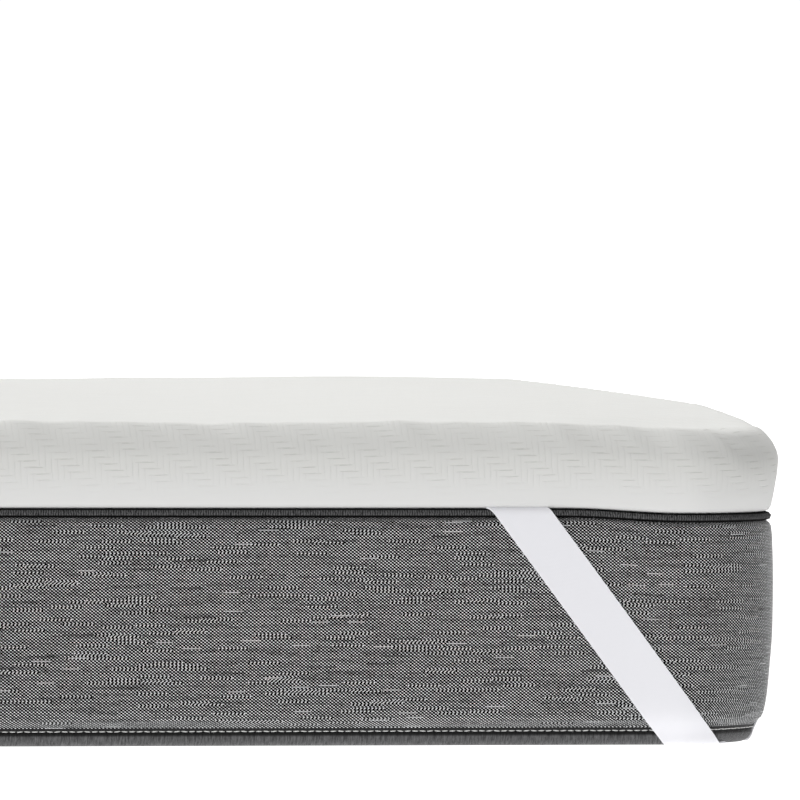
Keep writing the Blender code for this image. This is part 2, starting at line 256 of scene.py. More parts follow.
# The elastic and the thread
ELASTIC_RIB = 1.3 * MM  # between the ribs along it
ELASTIC_PICK = 0.9 * MM  # and between the picks across it
ELASTIC_EDGE_HIGHLIGHT = (1.6 * MM, 1.0 * MM)  # in from its edges, where the painted rib shade fades out and leaves a whiter line, a painted highlight
ELASTIC_WHITE = (0.89, 0.888, 0.925)
# Painted shade in the elastic's rib grooves
ELASTIC_RIB_SHADE = (0.81, 0.808, 0.845)
ELASTIC_DEPTH = 0.08 * MM
THREAD_WHITE = (0.85, 0.85, 0.84)
THREAD_GREY = (0.6, 0.6, 0.59)
THREAD_DEPTH = 0.1 * MM

# How far round from the middle of the foot end it is to where the first straight ends, then the
# corner, the side, the next corner and the last straight
CORE_X = WIDTH / 2 - CORNER_RADIUS
CORE_Y = LENGTH / 2 - CORNER_RADIUS
QUARTER_TURN = CORNER_RADIUS * pi / 2
REACHES = np.cumsum((0, CORE_X, QUARTER_TURN, 2 * CORE_Y, QUARTER_TURN, CORE_X))
HALF_ROUND = REACHES[-1]


# ---------------------------------------------------------------- Shader nodes


class Signal:
    """A number that varies over a surface: a shader socket that Python's operators work on."""

    def __init__(self, look, socket):
        self.look = look
        self.socket = socket

    def maths(self, operation, *values):
        return self.look.node("ShaderNodeMath", {"operation": operation}, *values)

    def __add__(self, other):
        return self.maths("ADD", self, other)

    __radd__ = __add__

    def __mul__(self, other):
        return self.maths("MULTIPLY", self, other)

    __rmul__ = __mul__

    def __sub__(self, other):
        return self.maths("SUBTRACT", self, other)

    def __rsub__(self, other):
        return self.maths("SUBTRACT", other, self)

    def __truediv__(self, other):
        return self.maths("DIVIDE", self, other)

    def __gt__(self, other):
        return self.maths("GREATER_THAN", self, other)

    def __lt__(self, other):
        return self.maths("LESS_THAN", self, other)

    def __mod__(self, other):
        return self.maths("FLOORED_MODULO", self, other)

    def __abs__(self):
        return self.maths("ABSOLUTE", self)

    def floor(self):
        return self.maths("FLOOR", self)

    def sine(self):
        return self.maths("SINE", self)

    def eased(self, low, high):
        """0 below low, 1 above high, and a smooth step between them; low may be the larger one."""
        settings = {"interpolation_type": "SMOOTHSTEP"}
        if low < high:
            return self.look.node("ShaderNodeMapRange", settings, self, low, high, 0.0, 1.0)
        return self.look.node("ShaderNodeMapRange", settings, self, high, low, 1.0, 0.0)


class Look:
    """A material, and the one way that nodes are added to it."""

    def __init__(self, name):
        self.material = bpy.data.materials.new(name)
        self.material.use_nodes = True
        self.tree = self.material.node_tree
        self.surface = self.tree.nodes["Principled BSDF"]

    def node(self, kind, settings, *inputs, output=0, **named):
        """A new node's output. Its inputs are values or signals, by place or by socket name."""
        made = self.tree.nodes.new(kind)
        for name, value in settings.items():
            setattr(made, name, value)
        for key, value in [*enumerate(inputs), *named.items()]:
            socket = made.inputs[key if isinstance(key, int) else key.replace("_", " ")]
            if isinstance(value, Signal):
                self.tree.links.new(value.socket, socket)
            else:
                socket.default_value = value
        return Signal(self, made.outputs[output])

    def surface_place(self):
        """How far round and how far up the piece a point is, in metres, from its UV map."""
        uv = self.node("ShaderNodeUVMap", {"uv_map": "UVMap"})
        return (
            self.node("ShaderNodeSeparateXYZ", {}, uv, output=0),
            self.node("ShaderNodeSeparateXYZ", {}, uv, output=1),
        )

    def vector(self, x, y, z=0.0):
        return self.node("ShaderNodeCombineXYZ", {}, x, y, z)

    def noise(self, vector, scale, detail=2.0, roughness=0.5):
        return self.node(
            "ShaderNodeTexNoise", {}, Vector=vector, Scale=scale, Detail=detail, Roughness=roughness
        )

    def random(self, x, y, z=0.0):
        """A number from 0 to 1 that is different for each whole x, y and z."""
        settings = {"noise_dimensions": "3D"}
        return self.node("ShaderNodeTexWhiteNoise", settings, Vector=self.vector(x, y, z))

    def mixed(self, share, first, second):
        """A colour between two."""
        made = self.node("ShaderNodeMix", {"data_type": "RGBA"}, share, output=2)
        mix = made.socket.node
        for socket, value in ((mix.inputs[6], first), (mix.inputs[7], second)):
            if isinstance(value, Signal):
                self.tree.links.new(value.socket, socket)
            else:
                socket.default_value = (*value, 1)
        return made

    def bump(self, height, distance):
        """Raises the surface by a height that varies from 0 to 1, times a distance."""
        made = self.node("ShaderNodeBump", {}, Strength=1.0, Distance=distance, Height=height)
        self.feed("Normal", made)

    def finish(self, roughness, specular=0.5, sheen=0.0, sheen_roughness=0.5):
        """Sets what is the same all over the surface."""
        self.feed("Roughness", roughness)
        self.feed("Specular IOR Level", specular)
        self.feed("Sheen Weight", sheen)
        self.feed("Sheen Roughness", sheen_roughness)
        return self.material

    def feed(self, socket, value):
        """Sets or links an input of the surface."""
        if isinstance(value, Signal):
            self.tree.links.new(value.socket, self.surface.inputs[socket])
        else:
            self.surface.inputs[socket].default_value = value


def knitted_cover():
    """White jersey with a raised herringbone of small bricks, each three times as long as wide."""
    look = Look("White knitted cover")
    around, up = look.surface_place()
    tilt = radians(BRICK_TILT)
    across = (around * cos(tilt) + up * sin(tilt)) / BRICK_WIDTH
    along = (up * cos(tilt) - around * sin(tilt)) / BRICK_COURSE
    course = along.floor()
    in_course = along - course
    place = (across + course) % BRICK_REPEAT
    brick_number = ((across + course) / BRICK_REPEAT).floor()
    is_level = place < BRICK_LENGTH
    in_cell = place - place.floor()
    # A level brick spans three cells of its course; an upright one spans three courses of its cell.
    from_middle_line = abs(in_course - 0.5)
    from_middle = abs(place / BRICK_LENGTH - 0.5)
    level_groove = from_middle_line.eased(0.36, 0.46) * from_middle.eased(0.41, 0.27) * is_level
    upright_groove = abs(in_cell - 0.5).eased(0.34, 0.46) * (1.0 - is_level)
    flat = look.vector(around, up)
    fuzz = look.noise(flat, scale=1400.0, detail=3.0, roughness=0.6)
    blotch = look.noise(flat, scale=28.0, detail=2.0, roughness=0.5)
    brick_relief = look.random(brick_number, course, 9.0) * 0.7 + 0.5
    relief = up.eased(*COVER_RELIEF) * brick_relief
    # The grooves round the bricks are darkened in the colour as painted shade, as well as by the bump;
    # the fuzz and blotches are the knit's own uneven tone.
    shade = (level_groove * 0.17 + upright_groove * 0.05) * relief + fuzz * 0.05 + blotch * 0.06
    knit = look.mixed(shade, COVER_WHITE, COVER_GROOVE_SHADE)
    # Painted light: the side is paler towards the bottom, as if lit from the floor below.
    low_lit_knit = look.mixed(up.eased(*COVER_LOW_PAINTED_LIGHT), knit, COVER_LOW_PAINTED_WHITE)
    # Painted light: the cover's lowest edge, which faces down into shade, is painted near white.
    look.feed("Base Color", look.mixed(up.eased(*COVER_EDGE_PAINTED_LIGHT), low_lit_knit, COVER_EDGE_PAINTED_WHITE))
    grooves = (level_groove * 0.6 + upright_groove * 0.35) * relief
    look.bump(0.0 - grooves + fuzz * 0.25, COVER_RELIEF_DEPTH)
    return look.finish(roughness=0.95, specular=0.15, sheen=0.1, sheen_roughness=0.6)


def heather_border():
    """A weave of round white yarns in a black ground, chequered, with short runs of floats."""
    look = Look("Heather border")
    around, up = look.surface_place()
    flat = look.vector(around, up)
    sway = look.noise(flat, scale=9.0, detail=1.0, roughness=0.4)
    course = (up / YARN_COURSE).floor()
    in_course = up / YARN_COURSE - course
    # In some runs of a few yarns a course falls in step with the one below it, and leans back.
    run = (around / YARN_RUN + look.random(course, 13.0) * 5.0).floor()
    lot = look.random(run, course, 17.0)
    floats = lot > 1 - FLOAT_SHARE
    dull = lot < DULL_SHARE
    lean = 0.22 - floats * 0.8
    step = course * 0.5 + floats * 0.32
    phase = around / YARN_PITCH + step + (in_course - 0.5) * lean + sway * 0.7
    yarn = phase.floor()
    in_yarn = phase - yarn
    yarn_shade = look.random(yarn, course, 3.0) * 0.4 + look.random(run, course, 23.0) * 0.5
    bright = yarn_shade + 0.42 + floats * 0.5 - dull * 0.25
    wave = (in_yarn * (2 * pi)).sine()
    rise = (in_course * pi).sine()
    dot = wave.eased(0.22, 0.66) * rise.eased(0.28, 0.82) * bright
    slub_cell = (around / SLUB_LENGTH + look.random(course, 11.0) * 9.0).floor()
    slub = look.random(slub_cell, course, 5.0) > 1 - SLUB_SHARE
    slub_line = abs(in_course - 0.5).eased(0.36, 0.2) * slub * 0.5
    white = look.node("ShaderNodeMath", {"operation": "MAXIMUM"}, dot, slub_line)
    # The courses beside the seam are partly the border's own charcoal and partly painted shade, near
    # black, where the border turns into the seam.
    charcoal_seam_shade_mask = up.eased(*CHARCOAL_SEAM_SHADE_COURSES)
    grain = look.noise(flat, scale=1500.0, detail=2.0, roughness=0.7)
    woven = look.mixed(white, YARN_BLACK, YARN_WHITE)
    charcoal_seam_shade = look.mixed(grain, CHARCOAL_SEAM_SHADE_DARK, CHARCOAL_SEAM_SHADE_LIGHT)
    look.feed("Base Color", look.mixed(charcoal_seam_shade_mask, woven, charcoal_seam_shade))
    look.bump(white * (1.0 - charcoal_seam_shade_mask), YARN_DEPTH)
    return look.finish(roughness=0.95, specular=0.0, sheen=0.5, sheen_roughness=0.42)


def charcoal_tape():
    """Ribbed charcoal tape, with painted shade as black bands along its lower and upper edges, where it
    meets the border and the topper.
    """
    look = Look("Charcoal tape")
    around, up = look.surface_place()
    wobble = look.noise(look.vector(around, up), scale=300.0, detail=2.0, roughness=0.6)
    ribs = ((around / TAPE_RIB + wobble * 1.5) * (2 * pi)).sine() * 0.5 + 0.5
    flecks = look.noise(look.vector(around, up * 0.35), scale=900.0, detail=2.0, roughness=0.7)
    light = (ribs * 0.45 + flecks * 0.9).eased(0.35, 1.05)
    # Painted shade: black bands along the lower and upper edges, in the gaps to the border and the
    # topper.
    gap_shade = up.eased(*TAPE_LOWER_GAP_SHADE) + up.eased(*TAPE_UPPER_GAP_SHADE)
    knit = look.mixed(light, TAPE_DARK, TAPE_LIGHT)
    look.feed("Base Color", look.mixed(gap_shade, knit, TAPE_GAP_SHADE_BLACK))
    look.bump(ribs, KNIT_DEPTH)
    return look.finish(roughness=0.9, specular=0.1)


def grey_panel():
    """Grey heather knit with upright streaks, with painted shade where it turns into the seam."""
    look = Look("Grey panel")
    around, up = look.surface_place()
    streaks = look.noise(look.vector(around, up * 0.14), scale=700.0, detail=3.0, roughness=0.7)
    speckle = look.noise(look.vector(around, up), scale=2400.0, detail=2.0, roughness=0.6)
    light = (streaks * 0.8 + speckle * 0.35).eased(0.34, 0.82)
    knit = look.mixed(light, PANEL_DARK, PANEL_LIGHT)
    # Painted shade where the panel turns into the seam.
    look.feed("Base Color", look.mixed(up.eased(*PANEL_TURNED_IN) * 0.9, knit, PANEL_SEAM_SHADE))
    look.bump(light, KNIT_DEPTH)
    return look.finish(roughness=0.9, specular=0.1, sheen=0.3, sheen_roughness=0.42)


def white_elastic():
    """Flat white webbing: fine ribs along it, with painted shade in their grooves, and a whiter line as
    a painted highlight along either edge.
    """
    look = Look("White elastic")
    along, across = look.surface_place()
    ribs = (across * (2 * pi / ELASTIC_RIB)).sine() * 0.5 + 0.5
    picks = (along * (2 * pi / ELASTIC_PICK)).sine() * 0.5 + 0.5
    edge = abs(across).eased(*(STRAP_WIDTH / 2 - inset for inset in ELASTIC_EDGE_HIGHLIGHT))
    # Painted shade in the rib grooves, left off near the edges, which read whiter as a painted
    # highlight.
    shade = (ribs * 0.12 + picks * 0.06 + 0.05) * (1.0 - edge)
    look.feed("Base Color", look.mixed(shade, ELASTIC_WHITE, ELASTIC_RIB_SHADE))
    look.bump(ribs * 0.6 + picks * 0.4, ELASTIC_DEPTH)
    return look.finish(roughness=0.6, specular=0.3)


def white_thread():
    """Twisted white sewing thread."""
    look = Look("White thread")
    place = look.node("ShaderNodeTexCoord", {}, output=3)
    strands = look.noise(place, scale=1800.0, detail=2.0, roughness=0.6)
    look.feed("Base Color", look.mixed(strands, THREAD_WHITE, THREAD_GREY))
    look.bump(strands, THREAD_DEPTH)
    return look.finish(roughness=0.7)


# ---------------------------------------------------------------- Shapes round the mattress


def round_plan(around):
    """The widest outline, this far round from the middle of the foot end: its core and facing."""
    reach = np.abs(around)
    side = np.where(around < 0, -1, 1)
    angle = np.radians(np.interp(reach, REACHES, (-90, -90, 0, 0, 90, 90)))
    core_x = np.interp(reach, REACHES, (0, CORE_X, CORE_X, CORE_X, CORE_X, 0))
    core_y = np.interp(reach, REACHES, (-CORE_Y, -CORE_Y, -CORE_Y, CORE_Y, CORE_Y, CORE_Y))
    core = np.stack((side * core_x, core_y), -1)
    facing = np.stack((side * np.cos(angle), np.sin(angle)), -1)
    return core, facing


def smooth_step(value):
    value = np.clip(value, 0, 1)
    return value * value * (3 - 2 * value)


def into_corner(plan, start, end):
    """0 to 1: how far a place on the plan is into a corner, from `start` to `end` in from its sides."""
    from_side = WIDTH / 2 - np.abs(plan[..., 0])
    from_end = LENGTH / 2 - np.abs(plan[..., 1])
    into_side = smooth_step((from_side - start) / (end - start))
    return into_side * smooth_step((from_end - start) / (end - start))


def dip(plan):
    """How far the straps pull the mattress's top down at this place on its square plan."""
    return CORNER_DIP * into_corner(plan, DIP_REACH, CORNER_RADIUS)


def swell(plan):
    """How much thicker the topper is at this place on its plan than at its long sides' ends."""
    over_width = 1 - (2 * plan[..., 0] / WIDTH) ** 2
    over_length = 1 - (2 * plan[..., 1] / LENGTH) ** 2
    crown = over_length * (SIDE_CROWN + (MIDDLE_CROWN - SIDE_CROWN) * over_width)
    sag = MIDDLE_SAG * (1 - smooth_step(np.abs(plan[..., 0]) / SAG_REACH))
    return crown - sag - CORNER_FALL * into_corner(plan, FALL_REACH, FALL_END)


# What follows gives the height of a piece's underside or top over each place on its square plan,
# from the height of the first or last row of its section.


def level(plan, height):
    return np.full(plan.shape[:-1], height)


def dipped(plan, height):
    return height - dip(plan)


def topper_under(plan, height):
    return MATTRESS_HEIGHT + GAP + height - dip(plan)


def topper_top(plan, height):
    return topper_under(plan, height) + swell(plan)


def finer(section, step):
    """The rows of a section in metres, with more between them on a smooth curve through them."""
    known = np.array(section) * MM
    lengths = np.hypot(*np.diff(known[:, :2], axis=0).T)
    reach = np.concatenate(([0], np.cumsum(lengths)))
    slope = np.gradient(known, reach, axis=0)
    at = np.linspace(0, reach[-1], ceil(reach[-1] / step) + 1)
    index = np.clip(np.searchsorted(reach, at, side="right") - 1, 0, len(lengths) - 1)
    span = lengths[index][:, None]
    share = (at - reach[index])[:, None] / span
    start, end = known[index], known[index + 1]
    leave, arrive = slope[index] * span, slope[index + 1] * span
    return (
        (1 + 2 * share) * (1 - share) ** 2 * start
        + share * (1 - share) ** 2 * leave
        + share**2 * (3 - 2 * share) * end
        - share**2 * (1 - share) * arrive
    )


Profile = namedtuple("Profile", "share straight corner deep")


def profile_of(section, step, lower_cap, upper_cap):
    """A piece's profile from the middle of its underside round to the middle of its top.

    share is how far up the side a row is, and deep how far in from the edge of the square plan.
    """
    rows = finer(section, step)
    share = (rows[:, 0] - rows[0, 0]) / (rows[-1, 0] - rows[0, 0])

    def cap(edge, depths):
        depths = np.array(depths)
        past = np.maximum(depths - CORNER_RADIUS, 0)
        within = np.minimum(depths, CORNER_RADIUS) / CORNER_RADIUS
        straight = edge[1] + within * (CORNER_RADIUS - edge[1]) + past
        corner = edge[2] + within * (CORNER_RADIUS - edge[2]) + past
        return straight, corner, depths

    low_straight, low_corner, low_deep = cap(rows[0], lower_cap)
    high_straight, high_corner, high_deep = cap(rows[-1], upper_cap)
    return Profile(
        np.concatenate((np.zeros(len(low_deep)), share, np.ones(len(high_deep)))),
        np.concatenate((low_straight[::-1], rows[:, 1], high_straight)),
        np.concatenate((low_corner[::-1], rows[:, 2], high_corner)),
        np.concatenate((low_deep[::-1], np.zeros(len(rows)), high_deep)),
    )


def surface_of(profile, around, lower, upper, lowest, highest):
    """The points of a piece round the mattress, as an array of rows of columns, and their plan."""
    core, facing = round_plan(around)
    in_corner = (2 * facing[:, 0] * facing[:, 1]) ** 2
    straight, corner = profile.straight[:, None], profile.corner[:, None]
    inset = straight + in_corner * (corner - straight)
    shrunk = np.maximum(inset - CORNER_RADIUS, 0)[..., None]
    half = np.array((WIDTH / 2, LENGTH / 2))
    scale = 1 - shrunk / (half - CORNER_RADIUS)
    outline = core * scale + np.maximum(CORNER_RADIUS - inset, 0)[..., None] * facing
    square = np.clip(facing * sqrt(2), -1, 1)
    deep = profile.deep[:, None, None]
    plan_scale = 1 - np.maximum(deep - CORNER_RADIUS, 0) / (half - CORNER_RADIUS)
    plan = core * plan_scale + np.maximum(CORNER_RADIUS - deep, 0) * square
    share = profile.share[:, None]
    height = (1 - share) * lower(plan, lowest * MM) + share * upper(plan, highest * MM)
    return np.concatenate((outline, height[..., None]), -1), plan


def grid_piece(name, columns, rows):
    """A flat grid of quads, selected and active, and the column and row of each of its points."""
    bpy.ops.object.select_all(action="DESELECT")
    bpy.ops.mesh.primitive_grid_add(x_subdivisions=columns - 1, y_subdivisions=rows - 1, size=1)
    piece = bpy.context.object
    piece.name = name
    piece.data.name = name
    flat = np.empty(3 * len(piece.data.vertices))
    piece.data.vertices.foreach_get("co", flat)
    flat = flat.reshape(-1, 3)
    column = np.rint((flat[:, 0] + 0.5) * (columns - 1)).astype(int)
    row = np.rint((flat[:, 1] + 0.5) * (rows - 1)).astype(int)
    return piece, column, row


def place_points(piece, points):
    piece.data.vertices.foreach_set("co", np.ascontiguousarray(points, float).ravel())
    piece.data.update()


def map_points(piece, places):
    """Sets the UV map, in metres, from a place for each corner of each face."""
    piece.data.uv_layers.active.data.foreach_set("uv", np.ascontiguousarray(places, float).ravel())


def corner_points(piece):
    """The index of the point at each corner of each face."""
    points = np.empty(len(piece.data.loops), int)
    piece.data.loops.foreach_get("vertex_index", points)
    return points


def closed(piece):
    """Joins the grid's ends and the points that meet in its middle, and turns its faces outwards."""
    bpy.ops.object.mode_set(mode="EDIT")
    bpy.ops.mesh.select_all(action="SELECT")
    bpy.ops.mesh.remove_doubles(threshold=WELD)
    bpy.ops.mesh.dissolve_degenerate(threshold=WELD)
    bpy.ops.mesh.normals_make_consistent(inside=False)
    bpy.ops.object.mode_set(mode="OBJECT")
    bpy.ops.object.shade_smooth()


def columns_round():
    count = 2 * ceil(HALF_ROUND / COLUMN_STEP) + 1
    return np.linspace(-HALF_ROUND, HALF_ROUND, count)


def wrapped(name, section, lower, upper, upper_cap=HIDDEN_CAP, shaped=None):
    """A soft piece all round the mattress, as one closed grid. `shaped` may move its points."""
    around = columns_round()
    profile = profile_of(section, WALL_STEP, HIDDEN_CAP, upper_cap)
    points, plan = surface_of(profile, around, lower, upper, section[0].height, section[-1].height)
    first = len(HIDDEN_CAP)
    steps = np.linalg.norm(np.diff(points[:, len(around) // 2], axis=0), axis=1)
    climb = np.concatenate(([0], np.cumsum(steps)))
    climb -= climb[first]
    if shaped:
        points = shaped(points, around, climb, profile)
    piece, column, row = grid_piece(name, len(around), len(points))
    place_points(piece, points[row, column])
    # The side is mapped by the way round and up it, and the flat faces by their plan.
    corners = corner_points(piece)
    faces = np.arange(len(corners)) // 4
    top_row = len(points) - len(upper_cap) - 1
    lowest_row = np.minimum.reduceat(row[corners], np.arange(0, len(corners), 4))
    on_side = ((lowest_row >= first) & (lowest_row < top_row))[faces]
    side_place = np.stack((around[column], climb[row]), -1)[corners]
    front = -LENGTH / 2 + profile.straight[top_row]
    flat_place = (points[row, column, :2] - (0, front - climb[top_row]))[corners]
    map_points(piece, np.where(on_side[:, None], side_place, flat_place))
    closed(piece)
    return piece


def finish_piece(piece, look, node):
    """Gives a piece its material and slot, and has it ride on the body, in place of its node."""
    piece.data.materials.clear()
    piece.data.materials.append(look)
    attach(piece, "root")
    if node:
        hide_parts(node)


# ---------------------------------------------------------------- The topper

# A fold's place, in metres round and up the side, its lean, in degrees, and its size, in millimetres
Fold = namedtuple("Fold", "around climb lean long wide high")
RIM_FOLDS = (
    Fold(0.288, 0.066, 50, 14, 4.0, 1.2),
    Fold(0.351, 0.064, 42, 11, 4.0, 1.0),
    Fold(0.386, 0.062, 50, 13, 4.0, 1.1),
    Fold(0.429, 0.063, 60, 22, 4.6, 1.9),
    Fold(0.452, 0.070, 58, 20, 5.5, -1.1),
    Fold(-0.010, 0.070, 35, 18, 6.0, 0.7),
    Fold(0.045, 0.070, 40, 18, 6.0, 0.7),
    Fold(0.090, 0.071, 38, 18, 6.0, 0.7),
    Fold(0.185, 0.070, 40, 18, 6.0, 0.8),
)
Wave = namedtuple("Wave", "length height start")
RIM_WAVES = (  # they start at an angle in radians
    Wave(46 * MM, 0.45 * MM, 0.4),
    Wave(63 * MM, 0.35 * MM, 1.9),
    Wave(110 * MM, 0.4 * MM, 3.3),
)
RIM_CLIMB = 77 * MM  # up the side, to the middle of the rim
RIM_REACH = 16 * MM  # from there to where the waves fade
WAVE_SLANT = 0.5  # how far a wave moves round for each metre up the side
SIDE_WAVES = 0.2  # the share of the waves' height that is left on the long sides
HOLLOW_PLACE = 1.4  # of the hollow beside a fold, in the fold's widths
HOLLOW_DEPTH = 0.5  # as a share of the fold's height


def topper_folds(points, around, climb, profile):
    """Moves the cover's points out and in along its normals, into soft tucks over the rim."""
    up = climb[:, None]
    amount = np.zeros(points.shape[:2])
    facing = round_plan(around)[1]
    at_end = SIDE_WAVES + (1 - SIDE_WAVES) * np.abs(facing[:, 1])
    at_rim = np.exp(-(((up - RIM_CLIMB) / RIM_REACH) ** 2)) * at_end
    for wave in RIM_WAVES:
        turn = 2 * pi * (around + WAVE_SLANT * up) / wave.length
        amount += at_rim * wave.height * np.sin(turn + wave.start)
    for fold in RIM_FOLDS:
        beside, above = around - fold.around, up - fold.climb
        lean = radians(fold.lean)
        along = (beside * cos(lean) - above * sin(lean)) / (fold.long * MM)
        across = (beside * sin(lean) + above * cos(lean)) / (fold.wide * MM)
        hollow = np.exp(-(along**2) - (across - HOLLOW_PLACE) ** 2)
        ridge = np.exp(-(along**2) - across**2) - HOLLOW_DEPTH * hollow
        amount += fold.high * MM * ridge
    rise = np.gradient(points[:, len(around) // 2, 2], climb)[:, None]
    lean_in = np.gradient(profile.straight, climb)[:, None]
    amount *= climb[:, None] > 0
    moved = points.copy()
    moved[..., :2] += (amount * rise)[..., None] * facing
    moved[..., 2] += amount * lean_in
    return moved


def topper():
    depths = np.linspace(0, WIDTH / 2, ceil(WIDTH / 2 / TOP_STEP) + 1)[1:]
    piece = wrapped(
        "topper_cover",
        TOPPER_SECTION,
        topper_under,
        topper_top,
        upper_cap=tuple(depths),
        shaped=topper_folds,
    )
    finish_piece(piece, knitted_cover(), "topper")


# ---------------------------------------------------------------- The mattress


def mattress():
    border = wrapped("heather_border", BORDER_SECTION, level, dipped)
    finish_piece(border, heather_border(), "mattress_border")
    tape = wrapped("edge_tape", EDGE_TAPE_SECTION, dipped, dipped)
    finish_piece(tape, charcoal_tape(), "mattress_top_panel")
    panel = wrapped("bottom_panel", BOTTOM_PANEL_SECTION, level, level)
    finish_piece(panel, grey_panel(), "mattress_bottom_panel")


def seam_stitches():
    """White stitches all round the lower seam: one is modelled, and the rest are copies of it."""
    bpy.ops.object.select_all(action="DESELECT")
    bpy.ops.mesh.primitive_uv_sphere_add(segments=8, ring_count=6, radius=1)
    stitch = bpy.context.object
    shape = np.empty(3 * len(stitch.data.vertices))
    stitch.data.vertices.foreach_get("co", shape)
    shape = shape.reshape(-1, 3)
    count = round(2 * HALF_ROUND / STITCH_PITCH)
    around = np.linspace(-HALF_ROUND, HALF_ROUND, count, endpoint=False)
    core, facing = round_plan(around)
    in_corner = (2 * facing[:, 0] * facing[:, 1]) ** 2
    inset = (STITCH_SEAM.straight + in_corner * (STITCH_SEAM.corner - STITCH_SEAM.straight)) * MM
    middles = core + (CORNER_RADIUS - inset)[:, None] * facing
    along = np.roll(middles, -1, 0) - np.roll(middles, 1, 0)
    along /= np.linalg.norm(along, axis=1)[:, None]
    stitch.name = "seam_stitches"
    array = stitch.modifiers.new("Stitches", "ARRAY")
    array.count = count
    array.use_relative_offset = False
    array.use_constant_offset = True
    array.constant_offset_displace = (0, 0, 0)
    bpy.ops.object.modifier_apply(modifier=array.name)
    lean = STITCH_LEAN * np.sin(np.arange(count) * STITCH_LEAN_STEP)[:, None]
    reach = shape[:, 0] * STITCH_LENGTH / 2
    out = shape[:, 1] * STITCH_RADIUS
    places = np.empty((count, len(shape), 3))
    places[..., :2] = (
        middles[:, None] + reach[:, None] * along[:, None] + out[:, None] * facing[:, None]
    )
    places[..., 2] = STITCH_HEIGHT + shape[:, 2] * STITCH_RADIUS + lean * shape[:, 0]
    place_points(stitch, places.reshape(-1, 3))
    bpy.ops.object.shade_smooth()
    finish_piece(stitch, white_thread(), None)


# ---------------------------------------------------------------- The straps


def inset_at(sine, row):
    """How far in a row's outline is in a corner, in millimetres, where its facing has this sine."""
    in_corner = 4 * sine * sine * (1 - sine * sine)
    return row.straight + in_corner * (row.corner - row.straight)


def inset_along(along, row):
    """How far in from its side a row's outline is, at this distance from the corner."""
    from_centre = max(CORNER_RADIUS - along, 0)
    radius = CORNER_RADIUS - row.straight * MM
    for _ in range(OUTLINE_ROUNDS):
        radius = CORNER_RADIUS - inset_at(from_centre / radius, row) * MM
    return CORNER_RADIUS - sqrt(radius * radius - from_centre * from_centre)


def strap_travel():
    """How far it is along the strap from its sewn end to each row of its section."""
    travel = [0]
    for above, below in zip(STRAP_SECTION, STRAP_SECTION[1:]):
        step = dist((above.straight, above.height), (below.straight, below.height))
        travel.append(travel[-1] + step * MM)
    return travel


def face_point(index, across, lean):
    """A place on the strap beside the mattress: how far from the corner, how far in, and how high."""
    row = STRAP_SECTION[index]
    travel = strap_travel()
    at_edge = travel[[row.height for row in STRAP_SECTION].index(STRAP_EDGE_HEIGHT)]
    along = STRAP_FROM_CORNER + lean * (at_edge - travel[index])
    along += across * STRAP_WIDTH / 2 * hypot(1, lean)
    return along, inset_along(along, row), row.height * MM


def height_round_edge(from_x, from_y):
    """How high the strap is as it follows the round of the mattress's lower edge near a corner."""
    to_centre = hypot(max(CORNER_RADIUS - from_x, 0), max(CORNER_RADIUS - from_y, 0))
    if to_centre == 0:
        return STRAP_LOWEST
    edge_inset = inset_at(max(CORNER_RADIUS - from_x, 0) / to_centre, PANEL_EDGE) * MM
    radius = PANEL_EDGE_RADIUS * MM
    out_from_centre = edge_inset + radius - (CORNER_RADIUS - to_centre)
    reach = radius + STRAP_STAND_OFF
    if not 0 < out_from_centre < reach:
        return STRAP_LOWEST
    return max(STRAP_LOWEST, radius - sqrt(reach * reach - out_from_centre * out_from_centre))


def turned_point(share, across):
    """A place on the strap under the mattress, this share of the way from end to long side."""
    lowest = len(STRAP_SECTION) - 1
    end_x, end_y, _ = face_point(lowest, across, END_LEAN)
    side_y, side_x, _ = face_point(lowest, across, SIDE_LEAN)
    near, far = STRAP_RUN_ON
    run_on = near + (far - near) * (across + 1) / 2
    left = 1 - share
    weights = (left**3, 3 * left * left * share, 3 * left * share * share, share**3)
    drawn_x = (end_x, end_x - END_LEAN * run_on, side_x + run_on, side_x)
    drawn_y = (end_y, end_y + run_on, side_y - SIDE_LEAN * run_on, side_y)
    from_x = sum(weight * place for weight, place in zip(weights, drawn_x))
    from_y = sum(weight * place for weight, place in zip(weights, drawn_y))
    return from_x, from_y, height_round_edge(from_x, from_y)


def strap_point(station, across):
    """A place on a strap, as its distances in from the corner's long side and end, and its height.

    Stations run from the strap's sewn end at the mattress's end down to the underside, round the
    corner there, and up the long side. `across` runs from -1, at the edge nearer the corner, to 1.
    """
    index = min(station, STRAP_STATIONS - station)
    at_end = station == index
    if index >= len(STRAP_SECTION):
        share = STRAP_UNDER[index - len(STRAP_SECTION)]
        return turned_point(share if at_end else 1 - share, across)
    if at_end:
        return face_point(index, across, END_LEAN)
    along, inset, height = face_point(index, across, SIDE_LEAN)
    return inset, along, height


